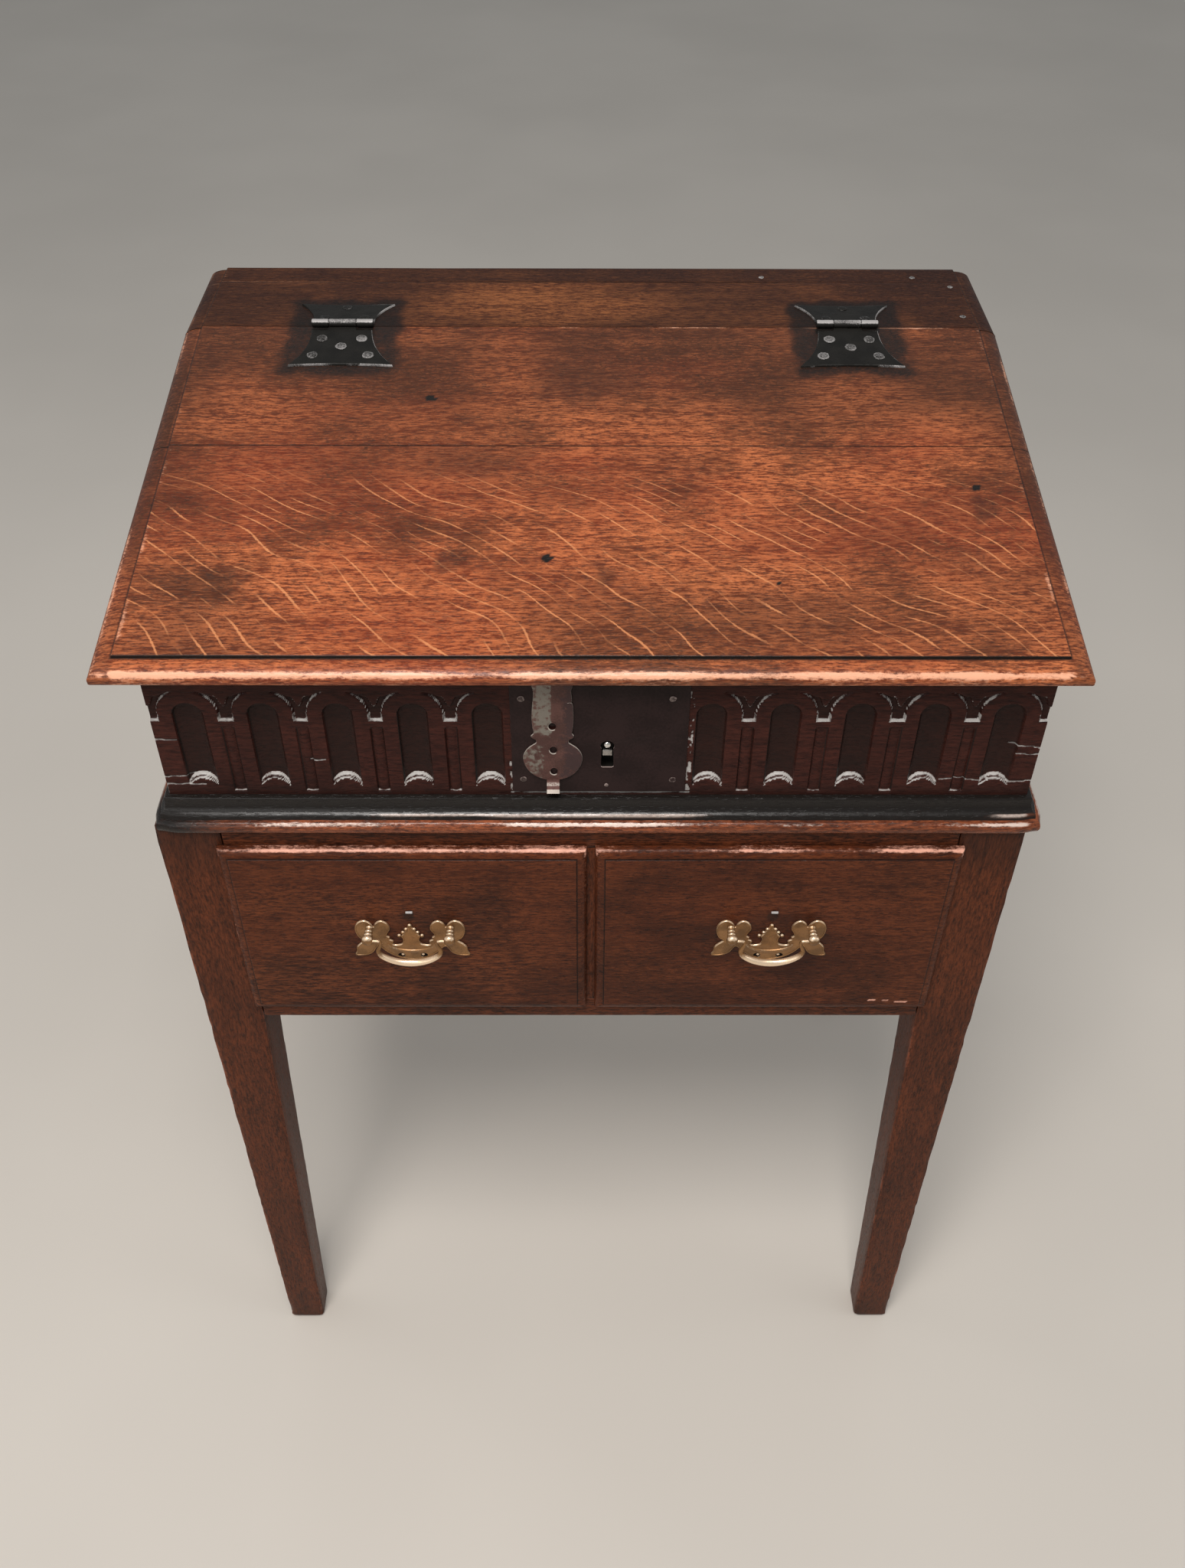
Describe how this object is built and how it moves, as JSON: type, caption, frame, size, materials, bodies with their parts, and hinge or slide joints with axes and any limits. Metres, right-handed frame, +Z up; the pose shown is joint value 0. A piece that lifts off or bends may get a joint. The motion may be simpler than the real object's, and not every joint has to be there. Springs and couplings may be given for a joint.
{
  "type": "bible box on stand",
  "caption": "Slope-topped oak box with a carved front, iron hinges, lock plate and hasp, on a tapered-leg stand with side-by-side drawers.",
  "frame": {"origin": "on the floor, under the middle of the whole object's bounding box", "axes": "+Z up, -Y towards the carved front and the drawers, +X to the right seen from the front"},
  "size_m": [0.72, 0.5488, 1.043],
  "materials": {
    "lid_oak": "waxed, worn oak",
    "carved_oak": "dark waxed oak",
    "moulding_oak": "dark waxed oak, polished on the nose",
    "box_oak": "dark waxed oak",
    "stand_oak": "polished dark oak",
    "inside_oak": "unpolished oak",
    "black_iron": "blackened wrought iron",
    "bare_steel": "rubbed bright",
    "hasp_metal": "worn, reddish",
    "aged_brass": "aged brass"
  },
  "bodies": {
    "box_on_stand": {"leg_front_left": "stand_oak", "leg_front_right": "stand_oak", "leg_back_left": "stand_oak", "leg_back_right": "stand_oak", "apron_left": "stand_oak", "apron_right": "stand_oak", "apron_back": "stand_oak", "top_front_rail": "stand_oak", "bottom_front_rail": "stand_oak", "drawer_muntin": "stand_oak", "drawer_runner_left": "inside_oak", "drawer_runner_right": "inside_oak", "drawer_runner_centre": "inside_oak", "drawer_kicker": "inside_oak", "base_moulding_front": "moulding_oak", "base_moulding_left": "moulding_oak", "base_moulding_right": "moulding_oak", "box_bottom_board": "inside_oak", "carved_front_board": "carved_oak", "box_side_left": "box_oak", "box_side_right": "box_oak", "box_back_board": "box_oak", "ledge_board": "lid_oak", "ledge_back_strip": "lid_oak", "hinge_left_ledge_leaf": "black_iron", "hinge_right_ledge_leaf": "black_iron", "hinge_pins": "bare_steel", "ledge_nails": "black_iron", "lock_plate": "black_iron", "lock_plate_nails": "black_iron", "lock_case": "bare_steel", "lock_drill_pin": "bare_steel", "lock_spring": "bare_steel"},
    "lid": {"lid_front_board": "lid_oak", "lid_rear_board": "lid_oak", "lid_loose_tenons": "lid_oak", "hinge_left_lid_leaf": "black_iron", "hinge_right_lid_leaf": "black_iron", "lid_nails": "black_iron", "hasp_butt": "black_iron", "hasp_pin": "bare_steel"},
    "hasp": {"hasp": "hasp_metal"},
    "lock_bolt": {"lock_bolt": "bare_steel"},
    "drawer_left": {"drawer_left_front": "stand_oak", "drawer_left_outer_side": "inside_oak", "drawer_left_inner_side": "inside_oak", "drawer_left_back": "inside_oak", "drawer_left_bottom": "inside_oak", "handle_left_plate": "aged_brass", "handle_left_posts": "aged_brass"},
    "drawer_right": {"drawer_right_front": "stand_oak", "drawer_right_outer_side": "inside_oak", "drawer_right_inner_side": "inside_oak", "drawer_right_back": "inside_oak", "drawer_right_bottom": "inside_oak", "handle_right_plate": "aged_brass", "handle_right_posts": "aged_brass"},
    "bail_left": {"handle_left_bail": "aged_brass"},
    "bail_right": {"handle_right_bail": "aged_brass"}
  },
  "joints": [
    {"name": "lid_hinge", "type": "hinge", "parent": "box_on_stand", "child": "lid", "pos_m": [0, 0.14993, 1.0395], "axis": [-1, 0, 0], "range_deg": [0, 105]},
    {"name": "hasp_swing", "type": "hinge", "parent": "lid", "child": "hasp", "pos_m": [-0.0295, -0.24087, 0.95522], "axis": [-1, 0, 0], "range_deg": [0, 80]},
    {"name": "drawer_left_slide", "type": "slide", "parent": "box_on_stand", "child": "drawer_left", "axis": [0, -1, 0], "range_m": [0, 0.32]},
    {"name": "drawer_right_slide", "type": "slide", "parent": "box_on_stand", "child": "drawer_right", "axis": [0, -1, 0], "range_m": [0, 0.32]},
    {"name": "bail_left_swing", "type": "hinge", "parent": "drawer_left", "child": "bail_left", "pos_m": [-0.1515, -0.27157, 0.698], "axis": [-1, 0, 0], "range_deg": [-18, 155]},
    {"name": "bail_right_swing", "type": "hinge", "parent": "drawer_right", "child": "bail_right", "pos_m": [0.1515, -0.27157, 0.698], "axis": [-1, 0, 0], "range_deg": [-18, 155]},
    {"name": "lock_bolt_slide", "type": "slide", "parent": "box_on_stand", "child": "lock_bolt", "axis": [-1, 0, 0], "range_m": [0, 0.008]}
  ]
}
